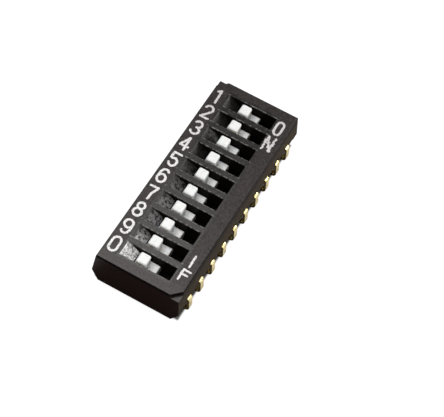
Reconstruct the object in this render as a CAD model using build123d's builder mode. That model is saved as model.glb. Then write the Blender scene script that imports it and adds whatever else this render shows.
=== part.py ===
"""Ten-way slide DIP switch with J-shaped surface-mount leads.

A black moulded cover with ten ramped windows stands over a black base that carries
two rows of gold-plated terminals. A white slider in each window carries a small
bridge contact, which joins the two terminals below it when the slider is pushed
towards +X. The row runs along Y, switch 1 is at +Y, and Z = 0 is the plane that
the leads stand on.
"""

from build123d import *

import os
from math import cos, radians, sin

os.makedirs("parts", exist_ok=True)

# Row of switches
switch_count = 10
pitch = 2.54

# Heights above the plane that the leads stand on
stand_off = 0.50
wall_foot = 2.10
deck_top = 2.35
cell_ceiling = 3.35
ramp_foot = 3.80
body_top = 5.00

# Cover: sizes on its top face, and how far its walls lean out down to the side walls' foot
cover_width = 10.00
cover_length = 27.60
side_lean = 0.30
end_lean = 0.10
end_wall = 0.85
corner_cut = 1.05
corner_cut_depth = 0.50
rim_break = 0.10
window_break = 0.05
end_foot_cut = 0.80
end_foot_cut_top = 1.90
notch_width = 0.84
notch_reach = 1.50
notch_gap = 0.30

# Windows in the cover, with a ramp at their -X end, and the cells below them
window_width = 1.76
window_low_x = -3.03
window_high_x = 3.05
ramp_end_x = -1.58
cell_length = 6.30
cell_width = 2.06

# Slider, in its OFF place: flange below the cover, step, and knob
flange_width = 1.96
flange_low_x = -3.00
flange_bottom = 2.47
flange_top = 3.30
step_width = 1.60
step_high_x = 1.15
step_top = 3.72
knob_width = 1.32
knob_low_x = -1.18
knob_high_x = 0.00
knob_corner = 0.12
knob_break = 0.10
step_break = 0.06
spring_pocket_length = 2.90
spring_pocket_width = 0.96
spring_pocket_top = 2.90

# Bridge contact under the slider
contact_middle_x = -0.90
contact_reach = 1.10
contact_width = 0.84
contact_sheet = 0.12
contact_toe = 0.22
contact_bend = 0.14
contact_gap = 0.03

# Terminals: contact pad in the base, then the lead outside it, a little off the pad's middle
strip = 0.25
lead_width = 0.70
lead_shift = -0.08
lead_bend = 0.22
lead_lean = 5
hook_x = 5.00
hook_radius = 0.60
hook_turn = 165
pad_width = 1.00
pad_outer_x = 4.20
left_pad_end_x = 0.45
right_pad_end_x = 0.95

# Base
deck_width = 9.00
base_width = 9.80
base_foot_width = 8.20
base_step = 1.50
lead_pocket_width = 1.06
lead_pocket_x = 3.90
lead_pocket_top = 1.40
peg_radius = 0.40
peg_height = 0.70
peg_x = 3.95
peg_spacing = 4 * pitch
peg_clearance = 0.02

# Worked out from the sizes above
lean_height = body_top - wall_foot
full_height = body_top - stand_off
foot_width = cover_width + 2 * side_lean * full_height / lean_height
foot_length = cover_length + 2 * end_lean * full_height / lean_height
wall_foot_x = cover_width / 2 + side_lean
bay_length = cover_length - 2 * end_wall
pad_middle = deck_top - strip / 2


def station(number):
    """Y of a switch, counted from 1 at the +Y end of the row."""
    return ((switch_count + 1) / 2 - number) * pitch


def across(y):
    """The plane across the row at y, with X to the right and Z up."""
    return Plane.XZ.offset(-y)


def save(part, name):
    """Label a finished piece and write it."""
    part.label = name
    export_step(part, f"parts/{name}.step")


# Cover: a leaning-walled block, open below between its two end walls
with BuildPart() as cover:
    with BuildSketch(Plane.XY.offset(stand_off)):
        Rectangle(foot_width, foot_length)
    with BuildSketch(Plane.XY.offset(body_top)):
        Rectangle(cover_width, cover_length)
    loft()

    # The top's far left and near right corners are cut back, down to a small ledge.
    with BuildSketch(Plane.XY.offset(body_top - corner_cut_depth)):
        for side in (1, -1):
            corner_x = -side * cover_width / 2
            corner_y = side * cover_length / 2
            with BuildLine():
                Polyline(
                    (corner_x + side * corner_cut, corner_y),
                    (corner_x + side * corner_cut, corner_y + side),
                    (corner_x - side, corner_y + side),
                    (corner_x - side, corner_y - side * corner_cut),
                    (corner_x, corner_y - side * corner_cut),
                    close=True,
                )
            make_face()
    extrude(amount=full_height, mode=Mode.SUBTRACT)
    rim = cover.faces().sort_by(Axis.Z)[-1].outer_wire().edges()
    chamfer(rim, rim_break)

    # Bay for the base, open at both sides below the side walls, with a notch for each lead
    with BuildSketch(Plane.XY.offset(wall_foot)):
        Rectangle(2 * foot_width, bay_length)
    extrude(amount=-wall_foot, mode=Mode.SUBTRACT)
    with BuildSketch(Plane.XY.offset(wall_foot)):
        Rectangle(deck_width, bay_length)
    extrude(amount=deck_top - wall_foot, mode=Mode.SUBTRACT)
    with BuildSketch(Plane.XY.offset(wall_foot)):
        with Locations((0, lead_shift)):
            with GridLocations(deck_width + notch_reach, pitch, 2, switch_count):
                Rectangle(notch_reach, notch_width)
    extrude(amount=deck_top + notch_gap - wall_foot, mode=Mode.SUBTRACT)

    # The end walls' lower corners slope in, clear of the leads.
    for side in (1, -1):
        with BuildSketch(Plane.XZ):
            with BuildLine():
                Polyline(
                    (side * wall_foot_x, end_foot_cut_top),
                    (side * foot_width, end_foot_cut_top),
                    (side * foot_width, 0),
                    (side * (wall_foot_x - end_foot_cut), 0),
                    (side * (wall_foot_x - end_foot_cut), stand_off),
                    close=True,
                )
            make_face()
        extrude(amount=foot_length, both=True, mode=Mode.SUBTRACT)

    # Windows with their ramps
    for number in range(1, switch_count + 1):
        with BuildSketch(across(station(number))):
            with BuildLine():
                Polyline(
                    (window_low_x, body_top),
                    (ramp_end_x, ramp_foot),
                    (ramp_end_x, cell_ceiling),
                    (window_high_x, cell_ceiling),
                    (window_high_x, body_top),
                    close=True,
                )
            make_face()
        extrude(amount=window_width / 2, both=True, mode=Mode.SUBTRACT)
    top_face = cover.faces().sort_by(Axis.Z)[-1]
    window_rims = [edge for wire in top_face.inner_wires() for edge in wire.edges().filter_by(Axis.X)]
    chamfer(window_rims, window_break)

    # Cells for the slider flanges, and holes for the base's pegs
    with BuildSketch(Plane.XY.offset(deck_top)):
        with GridLocations(0, pitch, 1, switch_count):
            Rectangle(cell_length, cell_width)
    extrude(amount=cell_ceiling - deck_top, mode=Mode.SUBTRACT)
    with BuildSketch(Plane.XY.offset(deck_top)):
        with GridLocations(2 * peg_x, peg_spacing, 2, 3):
            Circle(peg_radius + peg_clearance)
    extrude(amount=peg_height + peg_clearance, mode=Mode.SUBTRACT)
save(cover.part, "cover")


# Base: a plinth and a deck, with a slot for each terminal and a pocket for each hook
with BuildPart() as base:
    with BuildSketch(Plane.XZ):
        with BuildLine():
            Polyline(
                (-base_foot_width / 2, stand_off),
                (base_foot_width / 2, stand_off),
                (base_width / 2, base_step),
                (base_width / 2, wall_foot),
                (-base_width / 2, wall_foot),
                (-base_width / 2, base_step),
                close=True,
            )
        make_face()
    extrude(amount=bay_length / 2, both=True)
    with BuildSketch(Plane.XY.offset(wall_foot)):
        Rectangle(deck_width, bay_length)
    extrude(amount=deck_top - wall_foot)

    # Pegs that hold the cover in line
    with BuildSketch(Plane.XY.offset(deck_top)):
        with GridLocations(2 * peg_x, peg_spacing, 2, 3):
            Circle(peg_radius)
    extrude(amount=peg_height)

    # Slots for the pads and for the leads where they leave the deck
    with BuildSketch(Plane.XY.offset(deck_top)):
        for number in range(1, switch_count + 1):
            y = station(number)
            with Locations(((left_pad_end_x - pad_outer_x) / 2, y)):
                Rectangle(left_pad_end_x + pad_outer_x, pad_width)
            with Locations(((right_pad_end_x + pad_outer_x) / 2, y)):
                Rectangle(pad_outer_x - right_pad_end_x, pad_width)
            for side in (1, -1):
                with Locations((side * (pad_outer_x + deck_width / 2) / 2, y + lead_shift)):
                    Rectangle(deck_width / 2 - pad_outer_x, lead_width)
    extrude(amount=-strip, mode=Mode.SUBTRACT)

    # Pockets that the hooks of the leads turn up into
    pocket_reach = base_width / 2 - lead_pocket_x
    with BuildSketch(Plane.XY):
        with Locations((0, lead_shift)):
            with GridLocations(2 * lead_pocket_x + pocket_reach, pitch, 2, switch_count):
                Rectangle(pocket_reach, lead_pocket_width)
    extrude(amount=lead_pocket_top, mode=Mode.SUBTRACT)
save(base.part, "base")


def terminal(side, pad_end_x, y):
    """One terminal: pad, shoulder, leaning drop and inward hook, on the side of the sign."""
    hook_middle = hook_radius - strip / 2
    drop_height = pad_middle - hook_radius
    shoulder_x = hook_x + (hook_middle - drop_height * sin(radians(lead_lean))) / cos(radians(lead_lean))
    with BuildPart() as blank:
        with BuildSketch(across(y + lead_shift)):
            with BuildLine() as path:
                hook = CenterArc((hook_x, hook_radius), hook_middle, lead_lean, -hook_turn)
                FilletPolyline(
                    (side * pad_end_x, pad_middle),
                    (shoulder_x, pad_middle),
                    hook @ 0,
                    radius=lead_bend,
                )
            trace(path.line, line_width=strip)
        extrude(amount=lead_width / 2, both=True)
        with BuildSketch(Plane.XY.offset(deck_top)):
            with Locations(((side * pad_end_x + pad_outer_x) / 2, y)):
                Rectangle(pad_outer_x - side * pad_end_x, pad_width)
        extrude(amount=-strip)
    return blank.part if side > 0 else blank.part.mirror(Plane.YZ)


for number in range(1, switch_count + 1):
    save(terminal(-1, left_pad_end_x, station(number)), f"terminal_left_{number}")
    save(terminal(1, right_pad_end_x, station(number)), f"terminal_right_{number}")


def slider(y):
    """One slider: wide flange, step and knob, hollow below for its contact."""
    with BuildPart() as block:
        with BuildSketch(across(y)):
            with Locations(((flange_low_x + step_high_x) / 2, (flange_bottom + flange_top) / 2)):
                Rectangle(step_high_x - flange_low_x, flange_top - flange_bottom)
        extrude(amount=flange_width / 2, both=True)
        with BuildSketch(Plane.XY.offset(flange_top)):
            with Locations(((knob_low_x + step_high_x) / 2, y)):
                Rectangle(step_high_x - knob_low_x, step_width)
        extrude(amount=step_top - flange_top)
        chamfer(block.faces().sort_by(Axis.Z)[-1].edges(), step_break)
        with BuildSketch(Plane.XY.offset(step_top - step_break)):
            with Locations(((knob_low_x + knob_high_x) / 2, y)):
                knob = Rectangle(knob_high_x - knob_low_x, knob_width)
            chamfer(knob.vertices(), knob_corner)
        extrude(amount=body_top - step_top + step_break)
        chamfer(block.faces().sort_by(Axis.Z)[-1].edges(), knob_break)
        with BuildSketch(Plane.XY.offset(flange_bottom)):
            with Locations((contact_middle_x, y)):
                Rectangle(spring_pocket_length, spring_pocket_width)
        extrude(amount=spring_pocket_top - flange_bottom, mode=Mode.SUBTRACT)
    return block.part


def bridge_contact(y):
    """One bent strip that touches the pocket's roof and stands on two rounded feet."""
    crown = spring_pocket_top - contact_sheet / 2
    foot_rise = contact_bend * (2**0.5 - 1)
    foot = deck_top + contact_gap + contact_sheet / 2 - foot_rise
    crown_half = contact_reach - (crown - foot)
    with BuildPart() as leaf:
        with BuildSketch(across(y)):
            with BuildLine() as shape:
                FilletPolyline(
                    (contact_middle_x - contact_reach - contact_toe, foot + contact_toe),
                    (contact_middle_x - contact_reach, foot),
                    (contact_middle_x - crown_half, crown),
                    (contact_middle_x + crown_half, crown),
                    (contact_middle_x + contact_reach, foot),
                    (contact_middle_x + contact_reach + contact_toe, foot + contact_toe),
                    radius=(contact_bend, 0, 0, contact_bend),
                )
            trace(shape.line, line_width=contact_sheet)
        extrude(amount=contact_width / 2, both=True)
    return leaf.part


for number in range(1, switch_count + 1):
    save(slider(station(number)), f"slider_{number}")
    save(bridge_contact(station(number)), f"contact_spring_{number}")
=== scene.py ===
"""Looks of the ten-way slide DIP switch: materials, print, light and camera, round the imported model."""

import math

import bmesh
import bpy
import numpy as np
from mathutils import Matrix, Vector, noise


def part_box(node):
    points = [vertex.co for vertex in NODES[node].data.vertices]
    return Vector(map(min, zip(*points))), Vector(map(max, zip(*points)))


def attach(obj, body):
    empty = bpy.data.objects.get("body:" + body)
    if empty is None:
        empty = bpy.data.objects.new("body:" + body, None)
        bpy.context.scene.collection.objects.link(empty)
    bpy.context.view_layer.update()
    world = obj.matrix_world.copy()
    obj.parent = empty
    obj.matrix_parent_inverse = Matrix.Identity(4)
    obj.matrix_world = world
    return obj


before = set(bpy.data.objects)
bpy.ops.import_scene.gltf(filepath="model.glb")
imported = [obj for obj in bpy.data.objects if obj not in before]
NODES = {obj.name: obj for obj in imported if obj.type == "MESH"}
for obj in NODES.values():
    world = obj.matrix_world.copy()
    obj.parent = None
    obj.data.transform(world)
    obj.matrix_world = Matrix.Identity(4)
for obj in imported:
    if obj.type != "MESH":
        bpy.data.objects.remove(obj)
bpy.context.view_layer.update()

MM = 0.001
SWITCHES = 10
PITCH = 2.54
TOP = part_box("cover")[1].z / MM

# Camera: where it stands, in millimetres, how it is turned, and its focal length in pixels
VIEW_PLACE = (29.2, -80.04, 134.61)
VIEW_AZIMUTH = 18.16
VIEW_ELEVATION = 57.49
VIEW_ROLL = -12.28
FOCAL_PX = 1422.3
PICTURE_WIDTH_PX = 444
SENSOR_MM = 36.0

# Lamps: name, place and side length in millimetres, and power in watts
LAMPS = (
    ("lamp_key", (133, 133, 158), 80, 0.135),
    ("lamp_back", (-42, 52, 234), 60, 0.135),
    ("lamp_left", (-115, 0, 216), 60, 0.115),
    ("lamp_left_near", (-60, -15, 110), 50, 0.030),
    ("lamp_front", (10, -62, 90), 50, 0.034),
    ("lamp_low_far", (167, 167, 63), 60, 0.24),
    ("lamp_low_side", (237, 0, 63), 60, 0.10),
)
WORLD_LIGHT = 0.01

# Floor: its half width, and the distances from the middle that each band fades between, in millimetres
FLOOR_HALF = 2000
# Painted shadow: the floor is darkened to the camera inside these bounds, beneath the body.
BODY_SHADOW_X = (5.30, 5.05)
BODY_SHADOW_Y = (13.6, 13.3)
# Painted reflection: to mirror rays the floor is dark between the rows of leads and glows white beside
# them.
DARK_IN_GOLD_X = (6.0, 5.7)
WHITE_IN_GOLD_X = (5.7, 6.1)

# Places on the cover, in millimetres
RAMP_LOW_X = -3.03
RAMP_HIGH_X = -1.58
RAMP_DROP = 1.20
RAMP_SLOPE = RAMP_DROP / (RAMP_HIGH_X - RAMP_LOW_X)
CELL_HALF = 3.2
CELL_LOW_Z = 2.0
WINDOW_HALF = 0.88
ROW_HALF = 12.6
LAST_SWITCH_Y = -10.0
THIRD_RESIDUE_Y = 6.8

# Stretches that a finish fades over, from its weak end to its strong end, in millimetres
# Painted sheen: the ribs go from near black at the far end to grey at the near end.
RIB_SHEEN_Y = (10.0, -13.0)
# Painted sheen: the near end of the top face is lightened.
NEAR_END_SHEEN_Y = (-11.5, -13.2)
# The ramps' residue thickens towards the last switch, partly as residue and partly as painted light for the
# brighter near end.
MIDDLE_RESIDUE_AND_LIGHT_Y = (4.0, -5.5)
NEAR_RESIDUE_AND_LIGHT_Y = (-8.0, -10.8)
INK_WHITENING_Y = (10.5, 1.0)
# Painted shade: gold nearer the middle than this, inside the housing, is darkened.
BRIGHT_GOLD_X = (4.3, 4.6)

# Print: places and strokes, in millimetres
DIGIT_X = -4.06
DIGIT_SHIFT_Y = -0.08
WORD_X = 3.86
ON_Y = (11.20, 8.72)
OFF_Y = (-9.07, -10.93)
STROKE = 0.27
THIN_STROKE = 0.24
GLYPH_HALF_WIDTH = 0.50
GLYPH_HALF_HEIGHT = 0.92
INK_THICKNESS = 0.012
INK_SUNK = 0.004
INK_CELL = 0.04

# Uneven edges of the print: waves to a millimetre, steps between signs, and a finer set of waves
EDGE_WAVES = 6
SEED_STEP_X = 9.1
SEED_STEP_Z = 3.7
FINE_WAVES = 2.3
FINE_SHARE = 0.5

# Colours of the black plastic
TOP_BLACK = (0.016, 0.0125, 0.011)
TOP_GREY = (0.026, 0.020, 0.018)
# The two rib colours are painted sheen: near black at the far end, grey at the near end.
FAR_RIB_SHADE = (0.004, 0.0035, 0.0035)
NEAR_RIB_SHEEN = (0.055, 0.052, 0.050)
# This grey marks real specks and scuffs, and also the painted sheen that lightens the near end.
SCUFF_AND_SHEEN_GREY = (0.080, 0.073, 0.070)
# The side and end wall colours are partly a brown tint and partly painted light and shade: lighter on the
# sides, darker on the end walls.
SIDE_WALL_TINT_AND_LIGHT = (0.043, 0.030, 0.018)
END_WALL_TINT_AND_SHADE = (0.027, 0.014, 0.012)
# Painted shade on the side walls just below the top's edge.
UNDER_RIM_SHADE = (0.008, 0.004, 0.005)
# Painted shade in the windows' depths, on their ramps and along the top's edge.
SHADE_BLACK = (0.005, 0.004, 0.0035)
WORN_EDGE = (0.25, 0.245, 0.23)
RESIDUE = (0.88, 0.86, 0.86)
GLOSS_TINT = (1.0, 0.965, 0.955, 1.0)

# Colours of the white plastic, the gold, the ink and the floor
SLIDER_WHITE = (0.87, 0.87, 0.855)
SLIDER_DIRT = (0.72, 0.725, 0.69)
LEAD_BRIGHT = (0.98, 0.84, 0.46)
LEAD_DULL = (0.50, 0.38, 0.14)
SPRING_BRIGHT = (0.90, 0.70, 0.36)
SPRING_DULL = (0.66, 0.46, 0.22)
INK_FAINT = (0.66, 0.63, 0.635)
INK_WHITE = (0.87, 0.85, 0.835)
INK_SCUFFED = (0.36, 0.33, 0.33)
FLOOR_UNSEEN = (0.14, 0.14, 0.14)
FLOOR_SEEN = (0.20, 0.20, 0.20)
# Painted reflection: the floor colour that mirror rays see between the rows of leads.
FLOOR_SHADED = (0.04, 0.04, 0.04)


class Nodes:
    """A material's node tree, with short calls for the nodes that the finishes share."""

    def __init__(self, name):
        self.material = bpy.data.materials.new(name)
        self.material.use_nodes = True
        self.tree = self.material.node_tree
        self.tree.nodes.clear()
        output = self.add("ShaderNodeOutputMaterial")
        self.shader = self.add("ShaderNodeBsdfPrincipled")
        self.link(self.shader.outputs["BSDF"], output.inputs["Surface"])
        coordinates = self.add("ShaderNodeTexCoord")
        scale = self.add("ShaderNodeVectorMath", operation="SCALE")
        scale.inputs["Scale"].default_value = 1 / MM
        self.link(coordinates.outputs["Object"], scale.inputs[0])
        self.place_mm = scale.outputs["Vector"]

    def add(self, kind, **settings):
        node = self.tree.nodes.new(kind)
        for key, value in settings.items():
            setattr(node, key, value)
        return node

    def link(self, source, target):
        self.tree.links.new(source, target)

    def put(self, target, value):
        """Give a socket a number or another node's output."""
        if isinstance(value, bpy.types.NodeSocket):
            self.link(value, target)
        else:
            target.default_value = value

    def axes(self, vector):
        """A vector's three parts."""
        node = self.add("ShaderNodeSeparateXYZ")
        self.link(vector, node.inputs[0])
        return node.outputs

    def place(self):
        """The three parts of the place, in millimetres."""
        return self.axes(self.place_mm)

    def facing(self):
        """The three parts of the direction that the surface faces."""
        return self.axes(self.add("ShaderNodeNewGeometry").outputs["Normal"])

    def stretched(self, x, y, z):
        """The place in millimetres, scaled along each axis."""
        node = self.add("ShaderNodeVectorMath", operation="MULTIPLY")
        self.link(self.place_mm, node.inputs[0])
        node.inputs[1].default_value = (x, y, z)
        return node.outputs["Vector"]

    def noise(self, scale, detail=4.0, roughness=0.6, vector=None):
        """Clouds from 0 to 1, finer with a larger scale."""
        node = self.add("ShaderNodeTexNoise")
        self.link(vector or self.place_mm, node.inputs["Vector"])
        node.inputs["Scale"].default_value = scale
        node.inputs["Detail"].default_value = detail
        node.inputs["Roughness"].default_value = roughness
        return node.outputs["Fac"]

    def ramp(self, value, low, high, out_low=0.0, out_high=1.0):
        """Map a value from one range to another, clamped and with smooth ends."""
        node = self.add("ShaderNodeMapRange", clamp=True, interpolation_type="SMOOTHSTEP")
        self.put(node.inputs["Value"], value)
        node.inputs["From Min"].default_value = low
        node.inputs["From Max"].default_value = high
        node.inputs["To Min"].default_value = out_low
        node.inputs["To Max"].default_value = out_high
        return node.outputs["Result"]

    def math(self, operation, first, second=0.0):
        """One step of arithmetic."""
        node = self.add("ShaderNodeMath", operation=operation)
        self.put(node.inputs[0], first)
        self.put(node.inputs[1], second)
        return node.outputs[0]

    def times(self, first, *others):
        """Multiply masks and numbers."""
        for other in others:
            first = self.math("MULTIPLY", first, other)
        return first

    def outside(self, mask):
        """The rest of a mask."""
        return self.math("SUBTRACT", 1.0, mask)

    def mix(self, amount, first, second):
        """Mix two colours."""
        node = self.add("ShaderNodeMix", data_type="RGBA")
        self.put(node.inputs[0], amount)
        for socket, value in ((node.inputs[6], first), (node.inputs[7], second)):
            self.put(socket, value if isinstance(value, bpy.types.NodeSocket) else (*value, 1.0))
        return node.outputs[2]

    def bump(self, height, distance_mm):
        """Roughen the surface by a height from 0 to 1, times a distance."""
        node = self.add("ShaderNodeBump")
        node.inputs["Distance"].default_value = distance_mm * MM
        self.link(height, node.inputs["Height"])
        self.link(node.outputs["Normal"], self.shader.inputs["Normal"])


def in_row(n):
    """A mask of the part of the cover that holds the windows, seen from above."""
    place = n.place()
    across = n.ramp(n.math("ABSOLUTE", place[0]), CELL_HALF + 0.15, CELL_HALF)
    along = n.ramp(n.math("ABSOLUTE", place[1]), ROW_HALF + 0.15, ROW_HALF)
    return n.times(across, along)


def sloping(n):
    """A mask of the faces that slope like the windows' ramps."""
    facing = n.facing()
    return n.times(n.ramp(facing[0], 0.45, 0.55), n.ramp(facing[2], 0.5, 0.6))


def at_last_switch(n, strength=1.0):
    """A mask of the last switch's stretch of the row."""
    return n.ramp(n.place()[1], LAST_SWITCH_Y + 0.1, LAST_SWITCH_Y - 0.1, 0.0, strength)


def cell_shade(n):
    """A mask of painted shade: the depths of the windows, their ramps, and what lies below them."""
    height = n.place()[2]
    below_top = n.ramp(height, TOP - 0.05, TOP - 0.20)
    walls = n.times(below_top, n.ramp(height, CELL_LOW_Z, CELL_LOW_Z + 0.1))
    slopes = n.ramp(height, TOP + 0.60, TOP - 0.60)
    on_ramp = sloping(n)
    depth = n.math("ADD", n.times(slopes, on_ramp), n.times(walls, n.outside(on_ramp)))
    return n.times(in_row(n), depth)


def rim_shade(n):
    """A mask of painted shade along the broken edge round the top face and a narrow band below it, weaker
    at the sides.
    """
    facing = n.facing()
    band = n.times(n.ramp(n.place()[2], TOP - 0.30, TOP - 0.22), n.ramp(facing[2], 0.95, 0.90))
    strength = n.ramp(n.math("ABSOLUTE", facing[1]), 0.0, 0.5, 0.75, 1.0)
    return n.times(band, strength, n.outside(in_row(n)))


def window_wear(n):
    """A broken line of wear on the top face, along both long rims of each window."""
    place = n.place()
    turn = n.math("FRACT", n.times(place[1], 1 / PITCH))
    off_middle = n.times(n.math("ABSOLUTE", n.math("SUBTRACT", turn, 0.5)), PITCH)
    outer_side = n.ramp(off_middle, WINDOW_HALF + 0.14, WINDOW_HALF + 0.06)
    inner_side = n.ramp(off_middle, WINDOW_HALF - 0.02, WINDOW_HALF)
    on_top = n.ramp(place[2], TOP - 0.08, TOP - 0.04)
    broken = n.ramp(n.noise(2.8, detail=5.0), 0.46, 0.58)
    return n.times(outer_side, inner_side, on_top, in_row(n), broken)


def residue_reach(n):
    """A mask of the ramps and of a lip above them on the windows' far walls, wider at the last switch."""
    place = n.place()
    on_slope = n.times(n.ramp(place[0], RAMP_LOW_X - 0.05, RAMP_LOW_X + 0.60),
                       n.ramp(place[0], RAMP_HIGH_X + 0.02, RAMP_HIGH_X - 0.02))
    reach = n.math("MAXIMUM", on_slope, at_last_switch(n))
    drop = n.times(n.math("SUBTRACT", place[0], RAMP_LOW_X), RAMP_SLOPE)
    above = n.math("SUBTRACT", n.math("ADD", place[2], drop), TOP)
    lip = n.times(n.ramp(n.facing()[1], -0.9, -0.95), n.ramp(above, 0.30, 0.20))
    return n.times(reach, in_row(n), n.math("MAXIMUM", sloping(n), lip))


def residue_and_light_amount(n):
    """How thick the residue is: faint at the first switch, grey in the middle and thick at the last. This
    rise is partly residue and partly painted light for the brighter near end.

    A little more of it lies at the third switch than beside it.
    """
    along = n.place()[1]
    middle = n.ramp(along, *MIDDLE_RESIDUE_AND_LIGHT_Y, 0.01, 0.26)
    near = n.ramp(along, *NEAR_RESIDUE_AND_LIGHT_Y, 0.0, 0.74)
    off_third = n.math("ABSOLUTE", n.math("SUBTRACT", along, THIRD_RESIDUE_Y))
    third = n.ramp(off_third, 0.8, 0.1, 0.0, 0.12)
    return n.math("ADD", n.math("ADD", middle, near), third)


def ramp_residue_and_light(n):
    """A mask of rough white residue in flecks, with a film of it between them at the last switch. Its
    thickening towards the last switch is partly painted light.
    """
    coarse = n.noise(1.0, detail=5.0, roughness=0.65, vector=n.stretched(2.4, 3.2, 2.4))
    fine = n.noise(1.0, roughness=0.7, vector=n.stretched(6.0, 9.0, 6.0))
    pattern = n.math("ADD", n.times(coarse, 0.6), n.times(fine, 0.4))
    flecks = n.math("MAXIMUM", n.ramp(pattern, 0.42, 0.54), at_last_switch(n, 0.32))
    return n.times(residue_reach(n), residue_and_light_amount(n), flecks)


def top_colour(n):
    """Black with faint clouds, with specks and scuffs, and painted sheen: the ribs go from near black at
    the far end to grey at the near end, and the near end is lightened.
    """
    along = n.place()[1]
    clouds = n.mix(n.ramp(n.noise(0.8), 0.35, 0.65), TOP_BLACK, TOP_GREY)
    # Painted sheen along the ribs, darkest at the far end.
    ribs = n.mix(n.ramp(along, *RIB_SHEEN_Y), FAR_RIB_SHADE, NEAR_RIB_SHEEN)
    plain = n.mix(n.times(in_row(n), 0.85), clouds, ribs)
    specks = n.ramp(n.noise(3.0, detail=5.0, roughness=0.8), 0.56, 0.68)
    scuffs = n.ramp(n.noise(1.0, vector=n.stretched(1.3, 8.0, 1.0)), 0.60, 0.70)
    marks = n.times(n.math("MAXIMUM", specks, scuffs), 0.5)
    # Painted sheen that lightens the near end.
    near_end_sheen = n.ramp(along, *NEAR_END_SHEEN_Y, 0.0, 0.35)
    return n.mix(n.math("MAXIMUM", marks, near_end_sheen), plain, SCUFF_AND_SHEEN_GREY)


def black_plastic(name, with_ramps):
    """Moulded black plastic: browner at its sides, worn at its edges, with residue on the cover's ramps.
    The side and end wall colours are partly tint and partly painted light and shade, and painted shade lies
    below the rim, in the windows and along the top's edge.
    """
    n = Nodes(name)
    facing = n.facing()
    grain = n.noise(3.6, roughness=0.7)
    upright = n.ramp(facing[2], 0.6, 0.3)
    end_wall = n.ramp(n.math("ABSOLUTE", facing[1]), 0.5, 0.9)
    # Painted light and shade by facing: lighter brown on the sides, darker on the end walls, partly a real
    # tint.
    colour = n.mix(upright, top_colour(n), n.mix(end_wall, SIDE_WALL_TINT_AND_LIGHT, END_WALL_TINT_AND_SHADE))
    # Painted shade on the side walls just below the rim.
    under_rim_shade = n.times(n.ramp(n.place()[2], TOP - 1.5, TOP - 0.4), n.ramp(facing[0], 0.6, 0.7))
    colour = n.mix(n.times(under_rim_shade, 0.6), colour, UNDER_RIM_SHADE)
    # Painted shade in the windows, on the ramps and along the top's edge.
    dark = n.math("MAXIMUM", cell_shade(n), rim_shade(n))
    colour = n.mix(dark, colour, SHADE_BLACK)
    colour = n.mix(n.times(window_wear(n), 0.8), colour, WORN_EDGE)
    rough = n.ramp(grain, 0.3, 0.7, 0.34, 0.50)
    if with_ramps:
        white = ramp_residue_and_light(n)
        colour = n.mix(white, colour, RESIDUE)
        rough = n.math("MAXIMUM", rough, n.times(white, 0.7))
    gloss = n.times(n.ramp(dark, 0.0, 1.0, 1.0, 0.14), n.ramp(grain, 0.36, 0.64, 0.34, 0.66))
    wall_gloss = n.ramp(end_wall, 0.0, 1.0, 0.02, 0.30)
    gloss = n.times(gloss, n.math("MAXIMUM", n.outside(upright), wall_gloss))
    n.link(colour, n.shader.inputs["Base Color"])
    n.link(rough, n.shader.inputs["Roughness"])
    n.link(gloss, n.shader.inputs["Specular IOR Level"])
    n.shader.inputs["Specular Tint"].default_value = GLOSS_TINT
    n.bump(grain, 0.016)
    return n.material


def white_plastic(name):
    """Moulded white plastic for the sliders, a little dirty, that lets light in below its surface."""
    n = Nodes(name)
    grain = n.noise(7.0)
    dirt = n.ramp(n.noise(2.6, detail=5.0), 0.48, 0.72)
    n.link(n.mix(dirt, SLIDER_WHITE, SLIDER_DIRT), n.shader.inputs["Base Color"])
    n.link(n.ramp(grain, 0.3, 0.7, 0.38, 0.52), n.shader.inputs["Roughness"])
    n.shader.inputs["Subsurface Weight"].default_value = 0.40
    n.shader.inputs["Subsurface Radius"].default_value = (1.0, 0.9, 0.8)
    n.shader.inputs["Subsurface Scale"].default_value = 0.50 * MM
    n.bump(grain, 0.008)
    return n.material


def gold_plate(name, bright, dull, low_rough, high_rough):
    """Gold plating, with faint rolling lines and duller patches, and darkened inside the housing as painted
    shade.
    """
    n = Nodes(name)
    patches = n.ramp(n.noise(2.4), 0.35, 0.7)
    lines = n.noise(1.0, detail=3.0, vector=n.stretched(1.5, 30.0, 1.5))
    in_the_open = n.ramp(n.math("ABSOLUTE", n.place()[0]), *BRIGHT_GOLD_X)
    # Painted shade: gold inside the housing is made darker.
    housing_shade = tuple(0.4 * part for part in dull)
    n.link(n.mix(in_the_open, housing_shade, n.mix(patches, bright, dull)), n.shader.inputs["Base Color"])
    n.shader.inputs["Metallic"].default_value = 1.0
    n.link(n.ramp(patches, 0.0, 1.0, low_rough, high_rough), n.shader.inputs["Roughness"])
    n.bump(lines, 0.006)
    return n.material


def white_ink(name):
    """Screen-printed white ink, uneven and scuffed, and fainter towards the first switch."""
    n = Nodes(name)
    mottle = n.noise(5.0, detail=5.0, roughness=0.7)
    white = n.mix(n.ramp(n.place()[1], *INK_WHITENING_Y), INK_FAINT, INK_WHITE)
    n.link(n.mix(n.ramp(mottle, 0.44, 0.70), white, INK_SCUFFED), n.shader.inputs["Base Color"])
    n.link(n.ramp(mottle, 0.3, 0.7, 0.5, 0.7), n.shader.inputs["Roughness"])
    n.bump(mottle, 0.01)
    return n.material


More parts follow.
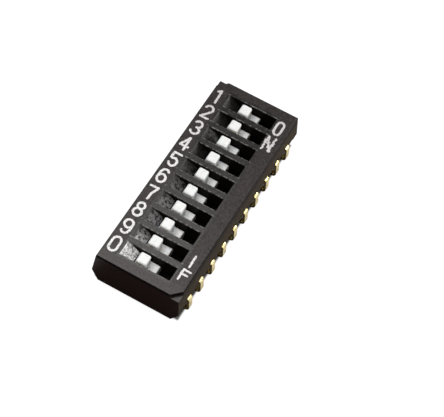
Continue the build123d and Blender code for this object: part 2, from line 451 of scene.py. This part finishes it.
def floor_finish(name):
    """White to the camera, with a painted shadow beneath the body.

    The gold mirrors it as a painted reflection: white outside the two rows of leads and dark between them.
    It throws little light back.
    """
    n = Nodes(name)
    rays = n.add("ShaderNodeLightPath").outputs
    seen = rays["Is Camera Ray"]
    mirrored = rays["Is Glossy Ray"]
    place = n.place()
    off_middle = n.math("ABSOLUTE", place[0])
    # Painted reflection: mirror rays see a dark floor between the rows of leads.
    shaded = n.times(mirrored, n.ramp(off_middle, *DARK_IN_GOLD_X))
    base = n.mix(seen, FLOOR_UNSEEN, FLOOR_SEEN)
    # Painted shadow: the floor is darkened to the camera beneath the body.
    body_shadow = n.times(n.ramp(off_middle, *BODY_SHADOW_X, 0.0, 0.90),
                    n.ramp(n.math("ABSOLUTE", place[1]), *BODY_SHADOW_Y))
    white = n.times(seen, n.math("SUBTRACT", 0.92, body_shadow))
    # Painted reflection: the floor glows white to mirror rays beside the leads.
    beside = n.times(mirrored, n.ramp(off_middle, *WHITE_IN_GOLD_X, 0.0, 0.70))
    n.link(n.mix(shaded, base, FLOOR_SHADED), n.shader.inputs["Base Color"])
    n.link(n.math("ADD", white, beside), n.shader.inputs["Emission Strength"])
    n.shader.inputs["Emission Color"].default_value = (1.0, 1.0, 1.0, 1.0)
    n.shader.inputs["Roughness"].default_value = 0.9
    n.shader.inputs["Specular IOR Level"].default_value = 0.0
    return n.material


def dress_frame():
    """Give each carried node its finish."""
    finishes = {
        "cover": black_plastic("cover_black", with_ramps=True),
        "base": black_plastic("base_black", with_ramps=False),
        "slider": white_plastic("slider_white"),
        "terminal": gold_plate("lead_gold", LEAD_BRIGHT, LEAD_DULL, 0.32, 0.44),
        "contact": gold_plate("spring_gold", SPRING_BRIGHT, SPRING_DULL, 0.28, 0.45),
    }
    for name, node in NODES.items():
        node.data.materials.clear()
        node.data.materials.append(finishes[name.split("_")[0]])


def arc(cx, cy, rx, ry, start, end, steps=14):
    """Points on a stretch of an ellipse, from one angle to another in degrees."""
    turns = np.radians(np.linspace(start, end, steps))
    return [(cx + rx * math.cos(t), cy + ry * math.sin(t)) for t in turns]


def glyph_strokes():
    """Each sign's strokes, as points on a field from -1 to 1 both ways."""
    return {
        "1": [[(-0.62, 0.72), (0.02, 1.0), (0.16, -1.0)]],
        "2": [arc(0.0, 0.48, 0.92, 0.52, 165, -35) + [(-0.92, -0.94), (0.92, -0.94)]],
        "3": [arc(0.0, 0.50, 0.88, 0.50, 150, -90) + arc(0.0, -0.48, 0.98, 0.52, 90, -155)],
        "4": [[(0.42, -1.0), (0.34, 1.0), (-0.94, -0.40), (1.0, -0.40)]],
        "5": [[(0.94, 0.96), (-0.86, 0.96), (-0.86, 0.12)] + arc(0.02, -0.40, 0.92, 0.60, 130, -155)],
        "6": [arc(0.05, 0.30, 0.95, 0.70, 40, 180) + arc(0.0, -0.40, 0.94, 0.60, 180, 540)],
        "7": [[(-0.94, 0.86), (0.94, 0.92), (0.22, -0.1), (0.12, -1.0)]],
        "8": [arc(0.0, 0.52, 0.80, 0.46, -90, 270, 22), arc(0.0, -0.46, 0.94, 0.52, 90, 450, 22)],
        "9": [arc(0.0, 0.42, 0.94, 0.57, 0, 360, 22) + arc(0.0, -0.30, 0.94, 0.68, 0, -140)],
        "0": [arc(0.0, 0.45, 0.94, 0.55, 0, 180) + arc(0.0, -0.45, 0.94, 0.55, 180, 360) + [(0.94, 0.45)]],
        "N": [[(-0.90, -1.0), (-0.84, 1.0), (0.88, -1.0), (0.90, 1.0)]],
        "F": [[(-0.80, -1.0), (-0.84, 0.86), (0.95, 0.80)], [(-0.80, 0.06), (0.70, 0.04)]],
        "bar": [[(-0.05, 0.95), (0.05, -0.95)]],
    }


def stroke_distance(px, py, strokes):
    """Distance from each point of a field to the nearest stroke's middle line."""
    best = np.full(px.shape, 1e9)
    for points in strokes:
        for (ax, ay), (bx, by) in zip(points, points[1:]):
            dx, dy = bx - ax, by - ay
            length = max(dx * dx + dy * dy, 1e-9)
            t = np.clip(((px - ax) * dx + (py - ay) * dy) / length, 0, 1)
            best = np.minimum(best, np.hypot(px - ax - t * dx, py - ay - t * dy))
    return best


def ink_field(strokes, half_w, half_h, stroke, roughness, seed):
    """A grid over one sign, with negative values where there is ink, up to an uneven edge."""
    xs = np.arange(-half_w - stroke, half_w + stroke, INK_CELL)
    ys = np.arange(-half_h - stroke, half_h + stroke, INK_CELL)
    px, py = np.meshgrid(xs, ys, indexing="ij")
    scaled = [[(x * half_w, y * half_h) for x, y in points] for points in strokes]
    field = stroke_distance(px, py, scaled) - stroke / 2
    for i in range(len(xs)):
        for j in range(len(ys)):
            spot = Vector((xs[i] * EDGE_WAVES + seed * SEED_STEP_X, ys[j] * EDGE_WAVES, seed * SEED_STEP_Z))
            uneven = noise.noise(spot) + FINE_SHARE * noise.noise(spot * FINE_WAVES)
            field[i, j] += roughness * uneven
    return xs, ys, field


def contour_faces(xs, ys, field):
    """Cut each grid triangle at the ink's edge and return the shared points and the faces."""
    points, faces, known = [], [], {}

    def point(key, x, y):
        """The number of a shared point, which is added when it is new."""
        if key not in known:
            known[key] = len(points)
            points.append((x, y))
        return known[key]

    def crossing(a, b):
        """The point where the ink's edge crosses the line between two places of the grid."""
        key = (min(a, b), max(a, b))
        (i, j), (k, m) = key
        t = field[i, j] / (field[i, j] - field[k, m])
        return point(key, xs[i] + t * (xs[k] - xs[i]), ys[j] + t * (ys[m] - ys[j]))

    for i in range(len(xs) - 1):
        for j in range(len(ys) - 1):
            a, b, c, d = (i, j), (i + 1, j), (i + 1, j + 1), (i, j + 1)
            for corners in ((a, b, c), (a, c, d)):
                face = []
                for here, after in zip(corners, corners[1:] + corners[:1]):
                    if field[here] < 0:
                        face.append(point(here, xs[here[0]], ys[here[1]]))
                    if (field[here] < 0) != (field[after] < 0):
                        face.append(crossing(here, after))
                if len(face) >= 3:
                    faces.append(face)
    return points, faces


def printed_sign(name, sign, x, y, ink, half_w=GLYPH_HALF_WIDTH, half_h=GLYPH_HALF_HEIGHT,
                 stroke=STROKE, roughness=0.042, seed=0):
    """One sign as a thin closed layer of ink on the cover's top face."""
    xs, ys, field = ink_field(glyph_strokes()[sign], half_w, half_h, stroke, roughness, seed)
    points, faces = contour_faces(xs, ys, field)
    mesh = bpy.data.meshes.new(name)
    low = (TOP - INK_SUNK) * MM
    mesh.from_pydata([((x + px) * MM, (y + py) * MM, low) for px, py in points], [], faces)
    build = bmesh.new()
    build.from_mesh(mesh)
    bmesh.ops.remove_doubles(build, verts=build.verts, dist=1e-8)
    lid = bmesh.ops.extrude_face_region(build, geom=build.faces[:])
    raised = [v for v in lid["geom"] if isinstance(v, bmesh.types.BMVert)]
    bmesh.ops.translate(build, verts=raised, vec=(0, 0, (INK_THICKNESS + INK_SUNK) * MM))
    bmesh.ops.recalc_face_normals(build, faces=build.faces)
    build.to_mesh(mesh)
    build.free()
    piece = bpy.data.objects.new(name, mesh)
    bpy.context.scene.collection.objects.link(piece)
    mesh.materials.append(ink)
    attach(piece, "housing")


def station(number):
    """Where a switch stands along the row, in millimetres."""
    return ((SWITCHES + 1) / 2 - number) * PITCH


def print_cover():
    """The numbers beside the windows, the word ON, and what is left of the word OFF."""
    ink = white_ink("print_white")
    for number in range(1, SWITCHES + 1):
        sign = str(number % SWITCHES)
        y = station(number) + DIGIT_SHIFT_Y
        printed_sign(f"print_number_{sign}", sign, DIGIT_X, y, ink, seed=number)
    printed_sign("print_on_o", "0", WORD_X - 0.02, ON_Y[0], ink, half_w=0.42, half_h=0.95, seed=21)
    printed_sign("print_on_n", "N", WORD_X - 0.06, ON_Y[1], ink, half_w=0.48, half_h=0.97,
                 roughness=0.16, seed=22)
    printed_sign("print_off_bar", "bar", WORD_X + 0.14, OFF_Y[0], ink, half_w=0.30, half_h=0.78,
                 stroke=THIN_STROKE, roughness=0.06, seed=23)
    printed_sign("print_off_f", "F", WORD_X + 0.17, OFF_Y[1], ink, half_w=0.46, half_h=0.72,
                 stroke=THIN_STROKE, roughness=0.06, seed=24)


def area_lamp(name, place, side, power):
    """A square soft lamp at a place in millimetres, aimed at the middle of the part."""
    lamp = bpy.data.lights.new(name, "AREA")
    lamp.shape = "SQUARE"
    lamp.size = side * MM
    lamp.energy = power
    holder = bpy.data.objects.new(name, lamp)
    bpy.context.scene.collection.objects.link(holder)
    holder.location = Vector(place) * MM
    holder.rotation_euler = (-Vector(place)).to_track_quat("-Z", "Y").to_euler()


def lay_floor():
    """A square floor that the part stands on."""
    half = FLOOR_HALF * MM
    corners = [(-half, -half, 0), (half, -half, 0), (half, half, 0), (-half, half, 0)]
    mesh = bpy.data.meshes.new("floor")
    mesh.from_pydata(corners, [], [(0, 1, 2, 3)])
    floor = bpy.data.objects.new("floor", mesh)
    bpy.context.scene.collection.objects.link(floor)
    mesh.materials.append(floor_finish("floor_white"))


def stage():
    """The floor, a faint world, and soft lamps from the sides, behind and in front."""
    lay_floor()
    world = bpy.data.worlds.new("studio")
    bpy.context.scene.world = world
    world.use_nodes = True
    back = world.node_tree.nodes["Background"]
    back.inputs["Color"].default_value = (1.0, 1.0, 1.0, 1.0)
    back.inputs["Strength"].default_value = WORLD_LIGHT
    for lamp in LAMPS:
        area_lamp(*lamp)


def place_camera():
    """Stand the camera where the photograph was taken from."""
    azimuth, elevation, roll = (math.radians(a) for a in (VIEW_AZIMUTH, VIEW_ELEVATION, VIEW_ROLL))
    back = Vector((math.sin(azimuth) * math.cos(elevation), -math.cos(azimuth) * math.cos(elevation),
                   math.sin(elevation)))
    level = Vector((math.cos(azimuth), math.sin(azimuth), 0))
    rise = back.cross(level)
    right = level * math.cos(roll) - rise * math.sin(roll)
    up = level * math.sin(roll) + rise * math.cos(roll)
    lens = bpy.data.cameras.new("camera")
    lens.sensor_width = SENSOR_MM
    lens.lens = FOCAL_PX / PICTURE_WIDTH_PX * SENSOR_MM
    lens.clip_start = 0.005
    lens.clip_end = 10.0
    camera = bpy.data.objects.new("camera", lens)
    bpy.context.scene.collection.objects.link(camera)
    turn = Matrix((right, up, back)).transposed().to_4x4()
    camera.matrix_world = Matrix.Translation(Vector(VIEW_PLACE) * MM) @ turn
    bpy.context.scene.camera = camera


dress_frame()
print_cover()
stage()
place_camera()
bpy.context.scene.view_settings.view_transform = "Standard"
